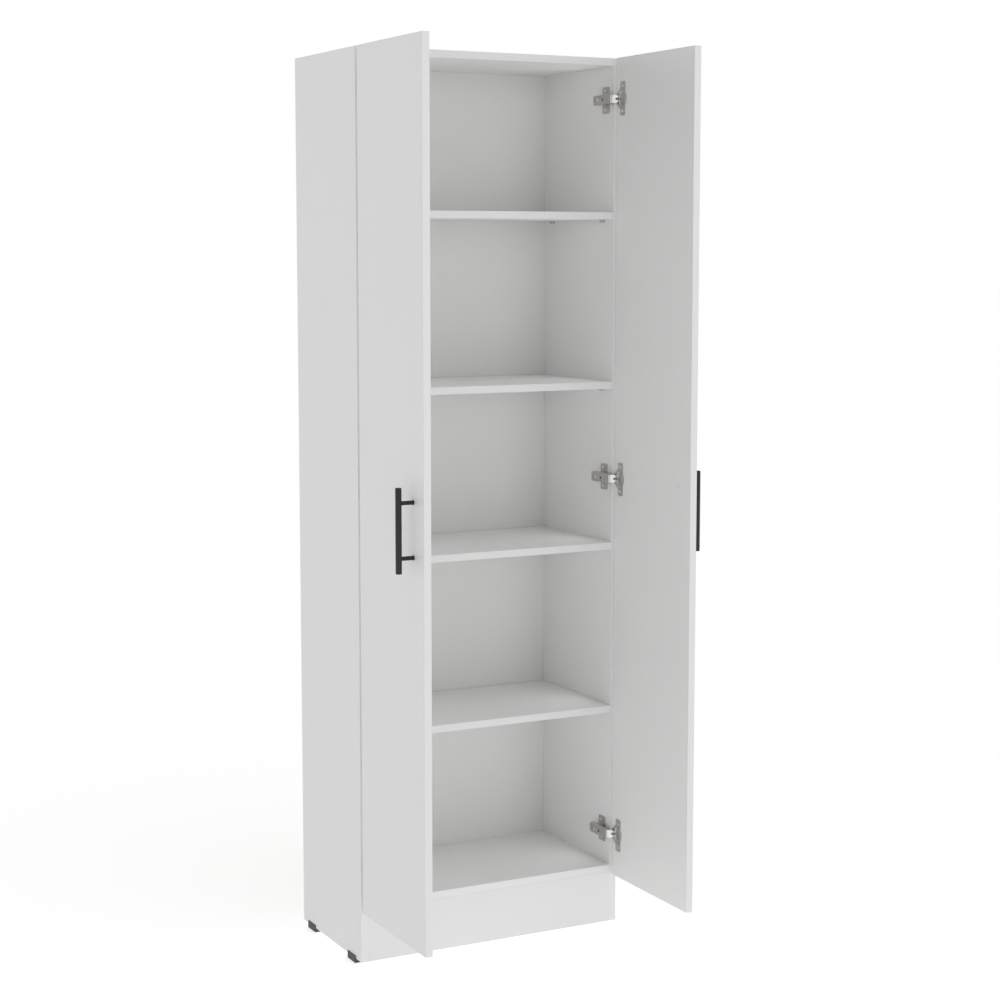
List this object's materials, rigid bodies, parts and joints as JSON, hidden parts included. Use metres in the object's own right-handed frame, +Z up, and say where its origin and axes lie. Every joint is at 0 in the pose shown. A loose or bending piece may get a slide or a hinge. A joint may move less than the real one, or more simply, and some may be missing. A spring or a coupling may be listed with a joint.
{
  "type": "pantry cabinet",
  "caption": "Tall free-standing pantry cabinet with two swinging doors on concealed hinges, shelves, plinth and black bar handles.",
  "frame": {"origin": "on the floor, at the middle of the width, in the plane of the carcass's front edges, which is the middle of the depth while both doors stand open", "axes": "+X to the right as seen by someone facing the doors, +Y to the back, +Z up"},
  "size_m": [0.674, 0.619, 1.849],
  "materials": {
    "white_board": "white melamine-faced particle board, satin, with white edge banding",
    "black_metal": "matt black powder coat",
    "black_plastic": "moulded black plastic",
    "white_plastic": "moulded white plastic",
    "nickel_steel": "pressed steel, nickel plated",
    "bright_nickel": "bright nickel plate",
    "zinc_steel": "zinc plated steel",
    "beech": "plain beech"
  },
  "bodies": {
    "carcass": {"left_side": "white_board", "right_side": "white_board", "top_panel": "white_board", "bottom_panel": "white_board", "plinth_board": "white_board", "back_panel": "white_board", "low_shelf": "white_board", "fixed_shelf": "white_board", "high_shelf": "white_board", "top_shelf": "white_board", "left_front_foot": "black_plastic", "right_front_foot": "black_plastic", "left_back_foot": "black_plastic", "right_back_foot": "black_plastic", "foot_nails": "zinc_steel", "cam_locks": "zinc_steel", "cam_bolts": "zinc_steel", "cam_caps": "white_plastic", "wooden_dowels": "beech", "shelf_pins": "zinc_steel", "left_low_arm": "nickel_steel", "left_mid_arm": "nickel_steel", "left_high_arm": "nickel_steel", "right_low_arm": "nickel_steel", "right_mid_arm": "nickel_steel", "right_high_arm": "nickel_steel", "left_low_plate": "nickel_steel", "left_mid_plate": "nickel_steel", "left_high_plate": "nickel_steel", "right_low_plate": "nickel_steel", "right_mid_plate": "nickel_steel", "right_high_plate": "nickel_steel", "left_arm_pins": "zinc_steel", "right_arm_pins": "zinc_steel", "left_plate_screws": "zinc_steel", "right_plate_screws": "zinc_steel", "left_arm_screws": "zinc_steel", "right_arm_screws": "zinc_steel"},
    "right_outer_links": {"right_outer_links": "bright_nickel"},
    "right_inner_links": {"right_inner_links": "nickel_steel"},
    "right_door": {"right_door": "white_board", "right_handle_bar": "black_metal", "right_handle_posts": "black_metal", "right_handle_screws": "zinc_steel", "right_low_cup": "nickel_steel", "right_mid_cup": "nickel_steel", "right_high_cup": "nickel_steel", "right_cup_pins": "zinc_steel", "right_cup_screws": "zinc_steel"},
    "left_outer_links": {"left_outer_links": "bright_nickel"},
    "left_inner_links": {"left_inner_links": "nickel_steel"},
    "left_door": {"left_door": "white_board", "left_handle_bar": "black_metal", "left_handle_posts": "black_metal", "left_handle_screws": "zinc_steel", "left_low_cup": "nickel_steel", "left_mid_cup": "nickel_steel", "left_high_cup": "nickel_steel", "left_cup_pins": "zinc_steel", "left_cup_screws": "zinc_steel"}
  },
  "joints": [
    {"name": "right_door_swing", "type": "hinge", "parent": "right_outer_links", "child": "right_door", "pos_m": [0.287, -0.0195, 0.982], "axis": [0, 0, 1], "range_deg": [-137.17, 15.24]},
    {"name": "right_outer_link_turn", "type": "hinge", "parent": "carcass", "child": "right_outer_links", "pos_m": [0.27, -0.01003, 0.982], "axis": [0, 0, 1], "range_deg": [-5.29, 47.22]},
    {"name": "right_inner_link_turn", "type": "hinge", "parent": "carcass", "child": "right_inner_links", "pos_m": [0.278, -0.00638, 0.982], "axis": [0, 0, 1], "range_deg": [-6.37, 56.95]},
    {"name": "left_door_swing", "type": "hinge", "parent": "left_outer_links", "child": "left_door", "pos_m": [-0.287, -0.0195, 0.982], "axis": [0, 0, -1], "range_deg": [-137.17, 15.24]},
    {"name": "left_outer_link_turn", "type": "hinge", "parent": "carcass", "child": "left_outer_links", "pos_m": [-0.27, -0.01003, 0.982], "axis": [0, 0, -1], "range_deg": [-5.29, 47.22]},
    {"name": "left_inner_link_turn", "type": "hinge", "parent": "carcass", "child": "left_inner_links", "pos_m": [-0.278, -0.00638, 0.982], "axis": [0, 0, -1], "range_deg": [-6.37, 56.95]}
  ],
  "couplings": [
    {"joint": "right_outer_link_turn", "follows": "right_door_swing", "ratio": -0.3439},
    {"joint": "right_inner_link_turn", "follows": "right_door_swing", "ratio": -0.41482},
    {"joint": "left_outer_link_turn", "follows": "left_door_swing", "ratio": -0.3439},
    {"joint": "left_inner_link_turn", "follows": "left_door_swing", "ratio": -0.41482}
  ]
}
